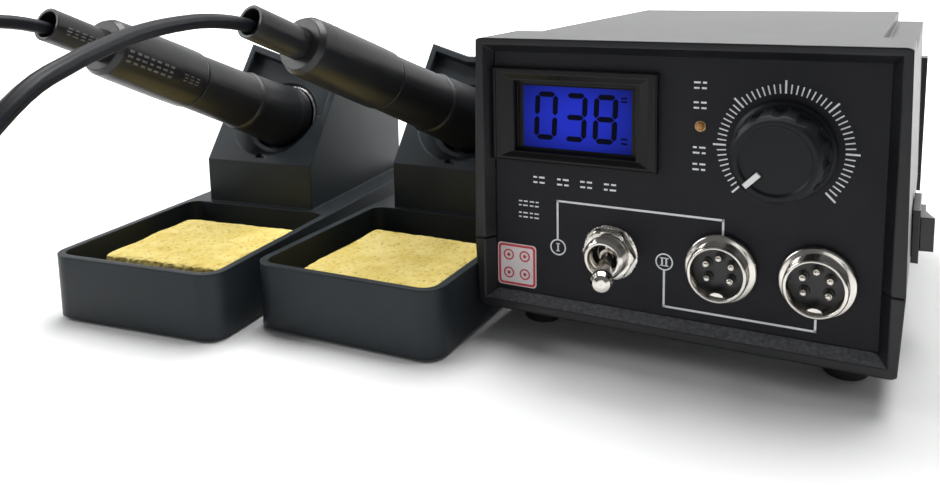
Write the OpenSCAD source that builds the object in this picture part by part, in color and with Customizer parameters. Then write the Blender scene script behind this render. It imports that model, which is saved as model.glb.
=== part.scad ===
// Two-channel soldering station: a control unit with a meter, a temperature
// knob, a channel switch and two round sockets, and two stands that each
// hold a soldering iron and a cleaning sponge.

/* [Place of the origin] */
// Middle of the control unit, right of the origin
unit_x = 71.9; // [60:0.1:80]
// Face of the front panel, behind the origin
unit_y = -44.9; // [-60:0.1:-20]

/* [Control unit] */
// Width of the case at the seam between its shells
case_w = 118; // [110:0.2:130]
// Height of the top of the case above the table
case_top = 92; // [80:1:110]
// Height of the underside of the case above the table
case_low = 9.2; // [6:0.2:12]
// Height of the seam between the two shells
seam_z = 30.5; // [26:0.5:40]
// Length behind the face of the front panel
case_l = 144; // [130:1:180]
// How far the front frame stands out of the panel
frame_lip = 4; // [2:0.5:6]
// Length of the full-width front frame
frame_l = 26.8; // [20:0.2:35]
// Wall of the shells
wall = 2.4; // [2:0.2:3]
// Thickness of the front and rear panels
panel_t = 2; // [1.6:0.2:3]

/* [Front panel fittings] */
// Meter bezel width
meter_w = 49.8; // [46:0.2:50]
// Meter bezel height
meter_h = 28; // [26:0.5:30]
// Knob skirt diameter
knob_d = 26; // [22:0.5:28]
// Knob height
knob_h = 15; // [12:0.5:18]
// Thread diameter of the round sockets
socket_d = 16; // [14:1:18]
// Thread diameter of the switch bush
bush_d = 12; // [10:1:12]

/* [Stands] */
// Width of a stand
stand_w = 66; // [64:0.5:68]
// Length of a stand
stand_l = 155; // [150:1:170]
// Height of the tray rim
rim_h = 21.8; // [20:0.1:26]
// Distance from the front of the tray to the holder block
block_y = 73; // [66:0.5:80]
// Width of the holder block
block_w = 47; // [44:0.5:50]
// Height of the block's upright front above the rim
block_rise = 17; // [12:0.1:20]
// Tilt of the block's sloping face from the table
slope_tilt = 51; // [45:0.1:55]
// Length of the sloping face
slope_l = 55; // [50:0.5:58]

/* [Irons] */
// Angle of an iron above the table
iron_rise = 23.2; // [18:0.2:28]
// Angle of the left iron to the left of its stand
left_yaw = 5.8; // [0:0.2:12]
// Angle of the right iron to the left of its stand
right_yaw = 10.2; // [0:0.2:12]
// Diameter of the collar at the front of the grip
collar_d = 25; // [22:0.5:26]
// Diameter of the open tube at the back of the handle
tail_d = 10; // [9:0.5:11]

/* [Hidden] */
$fn = 48;

half_w = case_w / 2;
open_w = 2 * 53.4;      // panel that shows inside the front frame
open_low = 14.1;
open_top = 87.7;
bevel = 2.4;            // spread of the frame's inner bevel
roof_w = 98.8;          // raised middle of the roof
shoulder_z = 88;        // ledges beside the raised roof
floor_z = case_low + wall;
boss_z = seam_z - 2;    // where the screw bosses of the two shells meet
taper = 1;              // how far the lower shell draws in on each side
draft = 1.2;            // how far the upper shell draws in on each side

meter_pos = [-28.4, 69.1];
knob_pos = [29.2, 64.6];
led_pos = [7.8, 69.2];
led_r = 1.2;
toggle_pos = [-17.1, 30.4];
lever_lean = 15;        // lean of the lever towards either channel
socket_pos = [[14.2, 30.6], [38.6, 30.6]];
foot_pos = [[-45, 16], [45, 16], [-45, 128], [45, 128]];
boss_pos = [[-50, 30], [50, 30], [-50, 132], [50, 132]];
rocker_pos = [half_w, 50, 33.7];
gland_pos = [-34, 27];

stand_pos = [[-158.4, -52.3], [-91.3, -32]];
stand_turn = [6.7, 1.9];
iron_yaw = [left_yaw, right_yaw];
holder_v = 22;          // where an iron's axis crosses the slope, up the slope
holder_y = block_y + holder_v * cos(slope_tilt);
holder_z = rim_h + block_rise + holder_v * sin(slope_tilt);

cord_d = 4;
coil_r = 22.5;
entry_r = 26.6;         // the cord arrives on the coil's outer turn
coil_w = 12.5;
coil_h = 10;
stub_l = 24;            // straight end of a coil, clear of its turns
// Routes of the two cords from the irons' open ends to their coils, in the
// control unit's own millimetres. The first two points lie on the iron's axis.
route_1 = [[-167.2, -50.6, 91.2], [-167, -66.2, 97.6], [-168.6, -80, 100.6],
    [-171, -96, 100.6], [-174, -112, 96], [-179, -127, 84], [-188, -141, 62],
    [-200, -151, 38], [-213, -157, 17], [-224, -158, 5.6], [-233, -154, 2.4],
    [-239.6, -147.5, 2.2], [-242, -140, 2.1], [-242, -136, 2.1]];
route_2 = [[-106.4, -28.9, 91.1], [-108.6, -44.3, 97.6], [-105.3, -62.6, 100.3],
    [-100.9, -80, 100.6], [-95.5, -96, 99.8], [-90.6, -109, 98.2], [-85.6, -121.5, 96.2],
    [-80.8, -135, 92.5], [-79, -149, 82], [-82, -162, 63], [-90, -174, 41],
    [-101, -184, 20], [-112, -190, 7], [-122, -192.5, 2.6], [-132, -191, 2.2],
    [-140.5, -185, 2.2], [-146, -173.5, 2.1], [-146, -169, 2.1]];
coil_pos = [[-268.6, -112], [-172.6, -145]];
plug_l = 38;
plug_r = 9;

// ---- placing ----

module in_unit() translate([unit_x, unit_y, 0]) children();

// x and z on the front panel, with +Z of the children pointing out of it
module on_panel(p) in_unit() translate([p[0], 0, p[1]]) rotate([90, 0, 0]) children();

module at_stand(i)
    in_unit() translate([stand_pos[i][0], stand_pos[i][1], 0])
        rotate([0, 0, stand_turn[i]]) children();

// in a stand's own axes, the children's +Z runs out of the holder along the iron
module along_holder(i) translate([0, holder_y, holder_z]) rotate([0, 0, -iron_yaw[i]])
    rotate([90 - iron_rise, 0, 0]) children();

module along_iron(i) at_stand(i) along_holder(i) children();

// the children lie on the slope: x across it, y up it, z out of it
module on_slope() translate([0, block_y, rim_h + block_rise])
    rotate([slope_tilt, 0, 0]) children();

module ring(outer, inner, h) difference() {
    cylinder(r = outer, h = h);
    translate([0, 0, -1]) cylinder(r = inner, h = h + 2);
}

module box(low, high) translate(low) cube(high - low);

// rectangle with round corners, centred on the first axis, standing on the second
module round_plate(w, low, high, r) {
    translate([-w / 2 + r, low]) square([w - 2 * r, high - low]);
    translate([-w / 2, low + r]) square([w, high - low - 2 * r]);
    for (x = [-w / 2 + r, w / 2 - r], z = [low + r, high - r])
        translate([x, z]) circle(r = r);
}

// slab along Y from front to back with an outline given in x and z
module along_y(front, back) translate([0, back, 0]) rotate([90, 0, 0])
    linear_extrude(height = back - front) children();

// ---- control unit ----

module frame_outline() {
    intersection() {
        round_plate(case_w, case_low, case_top, 3);
        translate([-half_w, 0]) polygon([[taper, case_low], [case_w - taper, case_low],
            [case_w, seam_z], [case_w - draft, case_top], [draft, case_top], [0, seam_z]]);
    }
}

module body_outline(inset = 0) {
    x_roof = roof_w / 2 - inset;
    x_side = half_w - inset;
    x_low = x_side - taper;
    x_high = x_side - draft;
    roof_z = case_top - 0.3 - inset;
    polygon([[-x_low, case_low + inset], [x_low, case_low + inset], [x_side, seam_z],
        [x_high, shoulder_z - inset], [x_roof, shoulder_z - inset],
        [x_roof, roof_z], [-x_roof, roof_z],
        [-x_roof, shoulder_z - inset], [-x_high, shoulder_z - inset], [-x_side, seam_z]]);
}

// pyramid-like opening whose sides slope from the frame's face to the panel
module frame_mouth() {
    w = open_w / 2;
    polyhedron(points = [
        for (s = [0, 1]) let (o = s == 0 ? 0 : bevel * 1.01, y = s == 0 ? 0.01 : -frame_lip - 0.04)
            each [[-w - o, y, open_low - o], [w + o, y, open_low - o],
                [w + o, y, open_top + o], [-w - o, y, open_top + o]]],
        faces = [[0, 1, 2, 3], [7, 6, 5, 4], [4, 5, 1, 0], [5, 6, 2, 1],
            [6, 7, 3, 2], [7, 4, 0, 3]]);
}

module case_solid() {
    difference() {
        union() {
            along_y(-frame_lip, frame_l - frame_lip) frame_outline();
            along_y(frame_l - frame_lip, case_l) body_outline();
            // side strips at the back
            for (s = [-1, 1]) along_y(case_l - 9, case_l - 1)
                translate([s > 0 ? half_w - 1 : -half_w - 1.1, 24]) square([2.1, 51]);
        }
        frame_mouth();
        along_y(0, panel_t) panel_outline();
        along_y(panel_t, frame_l - frame_lip) frame_cavity();
        along_y(frame_l - frame_lip - 1, case_l - 6) body_outline(wall);
        along_y(case_l - 6, case_l - 6 + panel_t) rear_outline();
        along_y(case_l - 5, case_l + 1) rear_opening();
    }
}

module panel_outline() translate([-open_w / 2 - 1, open_low - 1])
    square([open_w + 2, open_top - open_low + 2]);

module frame_cavity() translate([-open_w / 2 + 1, open_low + 1])
    square([open_w - 2, open_top - open_low - 2]);

module rear_outline() translate([-open_w / 2, open_low + 1])
    square([open_w, open_top - open_low - 5]);

module rear_opening() translate([-open_w / 2 + 2, open_low + 3])
    square([open_w - 4, open_top - open_low - 9]);

// cut-out for the rocker switch in the right wall
module rocker_cut() box([half_w - 4, rocker_pos[1] - 9.3, rocker_pos[2] - 6.3],
    [half_w + 2, rocker_pos[1] + 9.3, rocker_pos[2] + 6.3]);

module case_top_shell() color("#1b1c1e") in_unit() difference() {
    union() {
        intersection() {
            case_solid();
            box([-100, -50, seam_z + 0.15], [100, 200, 200]);
        }
        // screw bosses, each joined to the side wall by a rib
        for (p = boss_pos) {
            translate([p[0], p[1], boss_z]) cylinder(r = 3.4, h = 26);
            box([p[0] > 0 ? p[0] : -half_w + 2, p[1] - 0.8, boss_z + 3],
                [p[0] > 0 ? half_w - 2 : p[0], p[1] + 0.8, boss_z + 26]);
        }
    }
    rocker_cut();
    for (p = boss_pos) translate([p[0], p[1], boss_z - 1]) cylinder(r = 1.5, h = 17);
}

module case_bottom_shell() color("#1b1c1e") in_unit() {
    difference() {
        union() {
            intersection() {
                case_solid();
                box([-100, -50, 0], [100, 200, seam_z - 0.15]);
            }
            for (p = boss_pos) translate([p[0], p[1], case_low + 1])
                cylinder(r = 3.4, h = boss_z - case_low - 1);
        }
        rocker_cut();
        for (p = boss_pos) translate([p[0], p[1], case_low - 1]) {
            cylinder(r = 1.5, h = 30);
            cylinder(r = 3, h = 3.4);
        }
        for (p = foot_pos) translate([p[0], p[1], case_low - 1]) cylinder(r = 1.4, h = 10);
    }
}

module front_panel() color("#232427") in_unit() difference() {
    along_y(0, panel_t) panel_outline();
    along_y(-1, panel_t + 1) {
        translate([meter_pos[0] - 22.5, meter_pos[1] - 12.5]) square([45, 25]);
        translate(knob_pos) circle(r = 3.5);
        translate(led_pos) circle(r = led_r);
        translate(toggle_pos) circle(r = bush_d / 2);
        for (p = socket_pos) translate(p) circle(r = socket_d / 2);
    }
}

module rear_panel() color("#232427") in_unit() difference() {
    along_y(case_l - 6, case_l - 6 + panel_t) rear_outline();
    along_y(case_l - 7, case_l) {
        translate(gland_pos) circle(r = 6.2);
        // cooling slots
        for (i = [0 : 7]) translate([i * 5.5, 30]) square([2.4, 36]);
    }
}

module case_feet() color("#141414") in_unit() for (p = foot_pos)
    translate([p[0], p[1], 0]) rotate_extrude()
        polygon([[0, 0], [5.4, 0], [6, 0.6], [6.6, case_low], [1.4, case_low],
            [1.4, case_low + 5], [0, case_low + 5]]);

module case_screws() color("#8d9094") in_unit() for (p = boss_pos)
    translate([p[0], p[1], case_low + 0.1]) difference() {
        rotate_extrude() polygon([[0, 0], [2.6, 0], [2.8, 0.4], [2.8, 2.3], [1.5, 2.3],
            [1.5, 31], [0, 33]]);
        for (a = [0, 90]) rotate([0, 0, a]) translate([-1.8, -0.3, -1]) cube([3.6, 0.6, 2]);
    }

// ---- meter ----

module meter_housing() color("#101114") in_unit() translate([meter_pos[0], 0, meter_pos[1]])
    difference() {
        union() {
            box([-meter_w / 2, -2, -meter_h / 2], [meter_w / 2, 0, meter_h / 2]);
            box([-22.5, 0, -12.5], [22.5, 14, 12.5]);
            // snap clips behind the panel
            for (s = [-1, 1]) box([-3, panel_t, s * 13.2 - 0.9], [3, 6, s * 13.2 + 0.9]);
        }
        // stepped window opening, a little deeper below than above
        box([-18.7, -3, -11], [18.7, 2, 10.2]);
        box([-17.3, 1, -10.2], [17.3, 12, 8.9]);
        // broad sloping bezel
        hull() {
            box([-22.4, -3, -12.6], [22.4, -2, 12.4]);
            box([-19.6, -1, -11.4], [19.6, -0.8, 10.6]);
        }
    }

module meter_display() color("#1430e8") in_unit() translate([meter_pos[0], 0, meter_pos[1]])
    box([-17.3, 2, -10.2], [17.3, 8, 8.9]);

// ---- temperature control ----

module temperature_knob() color("#17181a") on_panel(knob_pos) difference() {
    rotate_extrude() polygon([[6.4, 0.8], [knob_d / 2 - 1, 0.8], [knob_d / 2, 1.4],
        [knob_d / 2, 2.6], [knob_d / 2 - 1, 3.4], [knob_d / 2 - 1.4, 4.6],
        [knob_d / 2 - 1.8, knob_h - 1.2], [knob_d / 2 - 3, knob_h], [knob_d / 2 - 4, knob_h],
        [knob_d / 2 - 4.6, knob_h - 0.6], [0, knob_h - 0.6], [0, 11], [3, 11], [3, 3.4],
        [6.4, 3.4]]);
    // finger flutes around the side
    for (i = [0 : 11]) rotate([0, 0, i * 30]) translate([knob_d / 2 + 0.2, 0, 4])
        cylinder(r = 2.5, h = knob_h);
    // groove that holds the pointer
    rotate([0, 0, -135]) translate([5, -0.8, knob_h - 1.4]) cube([knob_d / 2 - 8, 1.6, 2]);
}

module knob_pointer() color("#f2f2f0") on_panel(knob_pos) rotate([0, 0, -135])
    translate([5.1, -0.7, knob_h - 1.3]) cube([knob_d / 2 - 8.2, 1.4, 1.5]);

module potentiometer_shaft() color("#c8c9cb") on_panel(knob_pos)
    translate([0, 0, -8]) rotate_extrude() polygon([[0, 0], [3, 0], [3, 18.6], [2.6, 19], [0, 19]]);

module potentiometer_body() color("#9a9da1") on_panel(knob_pos) difference() {
    union() {
        translate([0, 0, -12]) cylinder(r = 8, h = 12 - panel_t);
        translate([0, 0, -panel_t]) cylinder(r = 3.5, h = panel_t + 2.3);
        for (x = [-5, 0, 5]) translate([x - 0.6, -13, -9]) cube([1.2, 6, 0.6]);
    }
    translate([0, 0, -9]) cylinder(r = 3.05, h = 20);
}

module potentiometer_nut() color("#b9bcc0") on_panel(knob_pos) difference() {
    cylinder(r = 5.6, h = 2, $fn = 6);
    translate([0, 0, -1]) cylinder(r = 3.5, h = 4);
}

module indicator_led() color("#c98a3a") on_panel(led_pos) {
    translate([0, 0, -6]) cylinder(r = led_r, h = 6.2);
    translate([0, 0, 0.2]) intersection() {
        sphere(r = led_r);
        cylinder(r = 2, h = 2);
    }
    for (x = [-0.6, 0.6]) translate([x, 0, -11]) cylinder(r = 0.2, h = 5);
}

// ---- channel switch ----

module toggle_body() color("#23262b") on_panel(toggle_pos) {
    translate([-7, -8.5, -17]) cube([14, 17, 17 - panel_t]);
    for (y = [-5, 0, 5]) translate([-2.4, y - 0.4, -22]) cube([4.8, 0.8, 5.2]);
}

module toggle_bush() color("#c5c8cc") on_panel(toggle_pos) difference() {
    union() {
        translate([0, 0, -panel_t]) cylinder(r = bush_d / 2, h = 7 + panel_t);
        translate([0, 0, 7]) cylinder(r1 = bush_d / 2, r2 = bush_d / 2 - 0.8, h = 0.9);
    }
    translate([0, 0, 1.5]) cylinder(r1 = 3.4, r2 = 4.4, h = 7);
    translate([0, 0, -3]) cylinder(r = 3.2, h = 6);
}

module toggle_nut() color("#d2d5d8") on_panel(toggle_pos) {
    ring(8.2, bush_d / 2, 0.7);
    difference() {
        translate([0, 0, 0.7]) cylinder(r = 8, h = 2.5, $fn = 6);
        cylinder(r = bush_d / 2, h = 9);
    }
}

module toggle_lever() color("#d8dadc") on_panel(toggle_pos) translate([0, 0, 3]) {
    rotate([0, lever_lean, 0]) rotate_extrude() polygon([[0, -2.4], [1.4, -2], [2.2, -1.2], [2.4, 0],
        [2.2, 1.2], [1.6, 2], [1.7, 5], [2, 11], [2.6, 16.5], [3, 20], [3, 21.6],
        [2.3, 22.9], [1.2, 23.4], [0, 23.5]]);
    // pivot pin
    rotate([90, 0, 0]) translate([0, 0, -3]) cylinder(r = 0.7, h = 6);
}

// ---- sockets ----

module socket_shell(i) color("#cfd2d6") on_panel(socket_pos[i]) difference() {
    rotate_extrude() polygon([[socket_d / 2 - 1.1, -12], [socket_d / 2 - 0.3, -12],
        [socket_d / 2, -11.6], [socket_d / 2, 0], [9.6, 0], [9.6, 2], [9.2, 2.4],
        [socket_d / 2, 2.4], [socket_d / 2, 6.4], [socket_d / 2 - 0.5, 7],
        [socket_d / 2 - 1.1, 7]]);
    // flat on the thread that stops the socket from turning
    translate([-10, -socket_d / 2 - 4.7, -13]) cube([20, 5, 11]);
}

module socket_insert(i) color("#17181a") on_panel(socket_pos[i]) difference() {
    translate([0, 0, -12]) cylinder(r = socket_d / 2 - 1.1, h = 14);
    for (a = pin_angles) rotate([0, 0, a]) translate([3.7, 0, -13]) cylinder(r = 0.8, h = 20);
    translate([-1.5, -socket_d / 2 + 0.3, 0]) cube([3, 2, 4]);
}

pin_angles = [90, 152, 28, 216, 324];

module socket_pins(i) color("#e0e2e4") on_panel(socket_pos[i]) for (a = pin_angles)
    rotate([0, 0, a]) translate([3.7, 0, -15]) rotate_extrude()
        polygon([[0, 0], [0.8, 0], [0.8, 19.4], [0.4, 20], [0, 20]]);

module socket_nut(i) color("#b9bcc0") on_panel(socket_pos[i]) difference() {
    translate([0, 0, -4.8]) cylinder(r = 11, h = 2.8, $fn = 6);
    translate([0, 0, -6]) cylinder(r = socket_d / 2, h = 8);
}

// ---- mains switch and cable gland ----

module rocker_frame() color("#121214") in_unit() translate(rocker_pos) {
    difference() {
        union() {
            box([0, -10.5, -7.8], [2, 10.5, 7.8]);
            box([-13, -9.3, -6.3], [0, 9.3, 6.3]);
            for (y = [-6, 2]) box([-20, y, -0.4], [-13, y + 4.8, 0.4]);
        }
        box([-10, -8.5, -5.4], [3, 8.5, 5.4]);
    }
    // pivot across the middle
    translate([-1, 0, -5.6]) cylinder(r = 1, h = 11.2);
}

// two faces meeting in a shallow V over the pivot
module rocker_button() color("#1a1a1d") in_unit() translate(rocker_pos)
    translate([-1, 0, -5]) rotate([0, 0, 9]) difference() {
        linear_extrude(height = 10) polygon([[5.6, -7.6], [4.4, 0], [5.6, 7.6],
            [2, 7.5], [-2, 3], [-2, -3], [2, -7.5]]);
        translate([0, 0, -1]) cylinder(r = 1.05, h = 12);
    }

module mains_gland() color("#131315") in_unit() translate([gland_pos[0], case_l, gland_pos[1]])
    rotate([90, 0, 0]) rotate_extrude() polygon([[3.2, -14], [4.6, -14], [5.4, -2], [8, -2],
        [8, 4], [6.2, 4], [6.2, 6], [7.2, 6.2], [5.6, 10], [3.2, 10]]);

// ---- inside the control unit ----

module transformer_core() color("#6f7276") in_unit() difference() {
    box([-28, 84, floor_z], [29, 108, floor_z + 48]);
    for (s = [-1, 1])
        box([0.5 + s * 14 - 5, 83, floor_z + 8], [0.5 + s * 14 + 5, 109, floor_z + 40]);
}

module transformer_winding() color("#a8622a") in_unit() difference() {
    box([-18, 78, floor_z + 9], [19, 114, floor_z + 39]);
    box([-8.5, 84, floor_z], [9.5, 108, floor_z + 48]);
}

module control_board() color("#1f5a38") in_unit() {
    box([-44, 28, 17], [44, 72, 18.6]);
    // capacitor, connectors and a row of resistors
    translate([-30, 62, 18.6]) cylinder(r = 5, h = 14);
    box([-8, 60, 18.6], [12, 68, 28]);
    for (i = [0 : 5]) box([-20 + i * 6, 42, 18.6], [-17 + i * 6, 50, 21]);
    for (x = [-40, 40], y = [32, 68]) translate([x, y, floor_z])
        cylinder(r = 2.5, h = 17.5 - floor_z);
}

module heat_sink() color("#a5a8ac") in_unit() {
    box([20, 60, 18.6], [40, 62, 44]);
    for (i = [0 : 4]) box([20 + i * 4.6, 62, 18.6], [21.6 + i * 4.6, 68, 44]);
    // triac bolted to the plate
    box([26, 56.6, 24], [36, 60, 39]);
}

// ---- stands ----

module rounded_base(w, low_y, high_y, r) {
    translate([-w / 2, low_y + r]) square([w, high_y - low_y - 2 * r]);
    translate([-w / 2 + r, low_y]) square([w - 2 * r, high_y - low_y]);
    for (x = [-w / 2 + r, w / 2 - r], y = [low_y + r, high_y - r])
        translate([x, y]) circle(r = r);
}

slope_top_y = block_y + slope_l * cos(slope_tilt);
slope_top_z = rim_h + block_rise + slope_l * sin(slope_tilt);
block_back = stand_l - 5;

module block_profile(t) polygon([
    [block_y + t, 2], [block_y + t, rim_h + block_rise - t * 0.45],
    [slope_top_y + t * 0.45, slope_top_z - t], [slope_top_y + 8, slope_top_z - t],
    [block_back - t, rim_h + block_rise + 12 - t * 0.5], [block_back - t, 2]]);

module block_body(w, t) rotate([90, 0, 90]) translate([0, 0, -w / 2])
    linear_extrude(height = w) block_profile(t);

mouth_r = 19;           // round mouth of the holder, at the slope's face
mouth_deep = 6;
recess_r = block_w / 2 - 2.4;

// shallow recess above the mouth, with a dipped top
module recess() polygon([[-recess_r, holder_v], [recess_r, holder_v],
    [recess_r, slope_l - 3.6], [6, slope_l - 8.4], [-6, slope_l - 8.4],
    [-recess_r, slope_l - 3.6]]);

// solid under the slope, deep enough for the mouth, the recess and the funnel seat
module slope_backing() intersection() {
    block_body(block_w, 0);
    on_slope() translate([-stand_w / 2, -5, -14]) cube([stand_w, 2 * slope_l, 20]);
}

module holder_cuts() on_slope() {
    translate([0, holder_v, -mouth_deep]) cylinder(r1 = 14.4, r2 = mouth_r, h = mouth_deep);
    translate([0, holder_v, -0.01]) cylinder(r = mouth_r, h = 20);
    translate([0, 0, -3.5]) linear_extrude(height = 30) recess();
    // drain notch at the lowest point of the mouth
    translate([-2, holder_v - mouth_r - 0.8, -2.4]) cube([4, 4, 20]);
}

// tray and hollow block
module stand_shell() difference() {
    union() {
        translate([0, 0, 1]) linear_extrude(height = rim_h - 1)
            rounded_base(stand_w, 0, stand_l, 7);
        block_body(block_w, 0);
    }
    // sponge tray
    translate([0, 0, 3]) linear_extrude(height = rim_h)
        rounded_base(stand_w - 5, 2.5, block_y - 2.4, 4.5);
    // hollow underside
    translate([0, 0, -1]) linear_extrude(height = rim_h - 1.5)
        rounded_base(stand_w - 6, block_y + 0.5, stand_l - 3, 4);
    block_body(block_w - 5, 2.5);
}

module stand(i) color("#202225") at_stand(i) difference() {
    union() {
        difference() {
            union() {
                stand_shell();
                slope_backing();
            }
            holder_cuts();
        }
        // boss that carries the funnel
        along_holder(i) translate([0, 0, -26]) cylinder(r = 16, h = 14);
    }
    along_holder(i) {
        translate([0, 0, -64]) cylinder(r = 10.4, h = 64);
        translate([0, 0, -20]) cylinder(r = 13.6, h = 40);
    }
    // cradle cut in the top edge
    on_slope() translate([0, 0, -60]) linear_extrude(height = 80) polygon([
        [-block_w / 2 - 0.1, slope_l + 0.01], [-6, slope_l - 5.6], [6, slope_l - 5.6],
        [block_w / 2 + 0.1, slope_l + 0.01], [block_w, slope_l + 40], [-block_w, slope_l + 40]]);
}

module stand_funnel(i) color("#8f9296") along_iron(i) rotate_extrude() polygon([
    [9, -62], [10.4, -62], [10.4, -20], [13.6, -20], [13.6, -8.2], [12.9, -7.8],
    [12.3, -8.9], [10.2, -12.6], [9, -15]]);

module stand_feet(i) color("#1a1a1a") at_stand(i) {
    for (x = [-1, 1] * (stand_w / 2 - 10), y = [10, stand_l - 8])
        translate([x, y, 0]) cylinder(r = 4, h = 1);
}

sponge_x = [3, 4.6];
sponge_y = [8.5, 5];

module sponge(i) color("#e8d170") at_stand(i)
    translate([sponge_x[i], sponge_y[i], 3.3]) linear_extrude(height = 16.6)
        rounded_base(49, 0, 48, 3);

// ---- irons ----

module iron_grip(i) color("#1c1d1f") along_iron(i) rotate_extrude() polygon([
    [3.6, -12], [7, -12], [9.6, -10.6], [collar_d / 2 - 0.8, -8.4], [collar_d / 2, -7],
    [collar_d / 2, -2.5], [collar_d / 2 - 0.4, -1], [11.9, 1.4], [11.4, 10], [11.1, 19],
    [11.2, 20.4], [10.9, 21.4], [10.4, 22], [10.1, 34], [9.7, 49.6], [7.2, 50],
    [7.2, 83], [3.6, 83]]);

module iron_sleeve(i) color("#232427") along_iron(i) rotate_extrude() polygon([
    [7.2, 50.2], [9.8, 50.2], [10.2, 51], [10.1, 60], [9.8, 72], [9.5, 82], [9.2, 87],
    [8.2, 89], [tail_d / 2, 89], [tail_d / 2, 83], [7.2, 83]]);

module iron_tail(i) color("#1d1e20") along_iron(i) translate([0, 0, 83])
    ring(tail_d / 2, tail_d / 2 - 1, 26);

module iron_barrel(i) color("#b8babc") along_iron(i) rotate_extrude() polygon([
    [1.5, -46], [2.9, -46], [2.9, -12.2], [3.6, -12.2], [3.6, 20], [1.5, 20]]);

module iron_nut(i) color("#9fa2a6") along_iron(i) rotate_extrude() polygon([
    [2.9, -22], [3.9, -22], [5.2, -18], [5.6, -18], [5.6, -12.2], [2.9, -12.2]]);

module iron_tip(i) color("#a9764a") along_iron(i) rotate_extrude() polygon([
    [0, -60], [0.5, -59.6], [1.6, -52], [2.9, -49.5], [2.9, -46], [1.5, -46],
    [1.5, -30], [0, -30]]);

// ---- cords ----

function along(pts, t) = let (k = min(floor(t), len(pts) - 2), f = t - k,
        a = pts[max(k - 1, 0)], b = pts[k], c = pts[k + 1], d = pts[min(k + 2, len(pts) - 1)])
    0.5 * (2 * b + (c - a) * f + (2 * a - 5 * b + 4 * c - d) * f * f
        + (3 * b - a - 3 * c + d) * f * f * f);
function unit(v) = v / norm(v);

// round tube swept along smooth steps between the points of a route
module swept_tube(pts, r, per_span = 2, sides = 8) {
    last = (len(pts) - 1) * per_span;
    spine = [for (k = [0 : last]) along(pts, k / per_span)];
    heading = [for (k = [0 : last]) unit(k < last ? spine[k + 1] - spine[max(k - 1, 0)]
        : pts[len(pts) - 1] - pts[len(pts) - 2])];
    // sideways direction carried along the spine without twisting
    side = [for (k = 0, u = unit(cross(heading[0], [0, 0, 1])); k <= last;
        k = k + 1, u = k > last ? u : unit(u - (u * heading[k]) * heading[k])) u];
    rings = [for (k = [0 : last]) let (u = side[k], v = cross(heading[k], u))
        [for (j = [0 : sides - 1]) spine[k] + r * (cos(j * 360 / sides) * u
            + sin(j * 360 / sides) * v)]];
    polyhedron(points = [for (g = rings) each g], faces = concat(
        [[for (j = [0 : sides - 1]) j]],
        [[for (j = [sides - 1 : -1 : 0]) last * sides + j]],
        [for (k = [0 : last - 1], j = [0 : sides - 1]) let (n = (j + 1) % sides)
            [k * sides + j, (k + 1) * sides + j, (k + 1) * sides + n, k * sides + n]]),
        convexity = 10);
}

module cord(i) color("#23262e") in_unit() swept_tube(i == 0 ? route_1 : route_2, cord_d / 2);

// bundle of turns, with straight ends where the cord arrives and leaves
module cord_coil(i) color("#262a33") in_unit() translate([coil_pos[i][0], coil_pos[i][1], 0]) {
    translate([0, 0, coil_h / 2]) rotate_extrude() translate([coil_r, 0]) {
        square([coil_w - 4, coil_h], center = true);
        square([coil_w, coil_h - 4], center = true);
    }
    translate([entry_r, 0, cord_d / 2 + 0.1]) rotate([90, 0, 0])
        cylinder(r = cord_d / 2, h = stub_l);
    translate([-coil_r, 0, plug_r]) rotate([90, 0, 0]) cylinder(r = cord_d / 2, h = stub_l);
}

// five-pin cable plug lying on the table
module plug(i) color("#c9ccd0") in_unit()
    translate([coil_pos[i][0] - coil_r, coil_pos[i][1] - stub_l, plug_r])
        rotate([90, 0, 0]) rotate_extrude() polygon([[0, 0], [3.4, 0], [3.8, 9], [6.4, 10],
            [7.2, 11], [7.2, 22], [plug_r - 0.4, 22], [plug_r, 22.6], [plug_r, plug_l - 0.6],
            [plug_r - 0.4, plug_l], [7.6, plug_l], [7.6, plug_l - 9], [0, plug_l - 9]]);

// ---- node list ----

case_top_shell();
case_bottom_shell();
front_panel();
rear_panel();
case_feet();
case_screws();
meter_housing();
meter_display();
temperature_knob();
knob_pointer();
potentiometer_shaft();
potentiometer_body();
potentiometer_nut();
indicator_led();
toggle_body();
toggle_bush();
toggle_nut();
toggle_lever();
socket_shell(0);  // socket_1_shell
socket_insert(0);  // socket_1_insert
socket_pins(0);  // socket_1_pins
socket_nut(0);  // socket_1_nut
socket_shell(1);  // socket_2_shell
socket_insert(1);  // socket_2_insert
socket_pins(1);  // socket_2_pins
socket_nut(1);  // socket_2_nut
rocker_frame();
rocker_button();
mains_gland();
transformer_core();
transformer_winding();
control_board();
heat_sink();
stand(0);  // stand_1
stand_funnel(0);  // stand_1_funnel
stand_feet(0);  // stand_1_feet
sponge(0);  // sponge_1
stand(1);  // stand_2
stand_funnel(1);  // stand_2_funnel
stand_feet(1);  // stand_2_feet
sponge(1);  // sponge_2
iron_grip(0);  // iron_1_grip
iron_sleeve(0);  // iron_1_sleeve
iron_tail(0);  // iron_1_tail
iron_barrel(0);  // iron_1_barrel
iron_nut(0);  // iron_1_nut
iron_tip(0);  // iron_1_tip
iron_grip(1);  // iron_2_grip
iron_sleeve(1);  // iron_2_sleeve
iron_tail(1);  // iron_2_tail
iron_barrel(1);  // iron_2_barrel
iron_nut(1);  // iron_2_nut
iron_tip(1);  // iron_2_tip
cord(0);  // cord_1
cord_coil(0);  // cord_1_coil
plug(0);  // plug_1
cord(1);  // cord_2
cord_coil(1);  // cord_2_coil
plug(1);  // plug_2
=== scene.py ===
import math
import random

import bmesh
import bpy
from mathutils import Matrix, Vector, noise


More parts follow.
